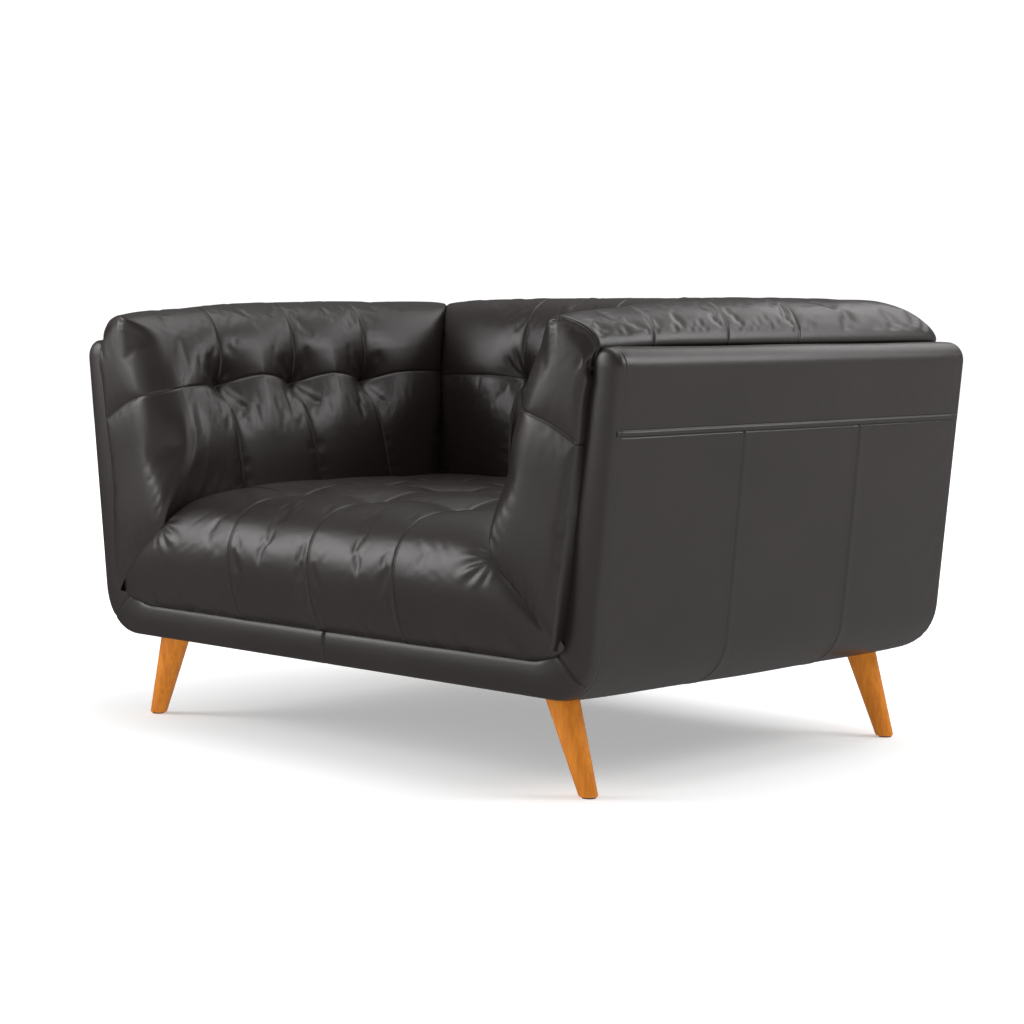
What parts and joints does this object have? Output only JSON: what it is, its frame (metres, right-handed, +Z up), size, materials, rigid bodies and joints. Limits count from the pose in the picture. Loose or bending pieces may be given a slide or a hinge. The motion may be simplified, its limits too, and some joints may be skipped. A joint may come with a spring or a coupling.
{
  "type": "upholstered armchair",
  "caption": "Wide tufted leather armchair in a U-shaped padded shell with mitred borders, on splayed tapered wooden legs.",
  "frame": {"origin": "on the floor, below the middle of the chair's width and depth", "axes": "+X to the sitter's left, which is the right of the chair seen from the front; -Y is the front; +Z is up"},
  "size_m": [1.2686, 0.8582, 0.7275],
  "materials": {
    "dark_leather": "satin",
    "oak": "satin",
    "frame_timber": "matte",
    "plywood": "matte",
    "foam": "matte",
    "felt": "matte",
    "black_lining": "matte",
    "steel": "satin",
    "nylon": "matte"
  },
  "bodies": {
    "root": {"arm_back_post_left": "frame_timber", "arm_back_post_right": "frame_timber", "arm_cover_left": "dark_leather", "arm_cover_right": "dark_leather", "arm_foam_left": "foam", "arm_foam_right": "foam", "arm_front_post_left": "frame_timber", "arm_front_post_right": "frame_timber", "arm_top_rail_left": "frame_timber", "arm_top_rail_right": "frame_timber", "back_board": "plywood", "back_border_arm_left": "dark_leather", "back_border_arm_right": "dark_leather", "back_border_base": "dark_leather", "back_cover": "dark_leather", "back_foam": "foam", "back_rail": "frame_timber", "back_stile": "frame_timber", "back_top_rail": "frame_timber", "corner_block_back_left": "frame_timber", "corner_block_back_right": "frame_timber", "corner_block_front_left": "frame_timber", "corner_block_front_right": "frame_timber", "dust_cover": "black_lining", "front_border_arm_left": "dark_leather", "front_border_arm_right": "dark_leather", "front_border_base_left": "dark_leather", "front_border_base_right": "dark_leather", "front_rail": "frame_timber", "glide_back_left": "nylon", "glide_back_right": "nylon", "glide_front_left": "nylon", "glide_front_right": "nylon", "leg_back_left": "oak", "leg_back_right": "oak", "leg_front_left": "oak", "leg_front_right": "oak", "leg_stud_back_left": "steel", "leg_stud_back_right": "steel", "leg_stud_front_left": "steel", "leg_stud_front_right": "steel", "outer_back_cover": "dark_leather", "outer_back_wadding": "foam", "seat_cover": "dark_leather", "seat_foam": "foam", "seat_spring_1": "steel", "seat_spring_2": "steel", "seat_spring_3": "steel", "seat_spring_4": "steel", "seat_stretcher": "frame_timber", "side_board_left": "plywood", "side_board_right": "plywood", "side_cover_left": "dark_leather", "side_cover_right": "dark_leather", "side_padding_left": "foam", "side_padding_right": "foam", "side_rail_left": "frame_timber", "side_rail_right": "frame_timber", "spring_pad": "felt"}
  },
  "joints": []
}
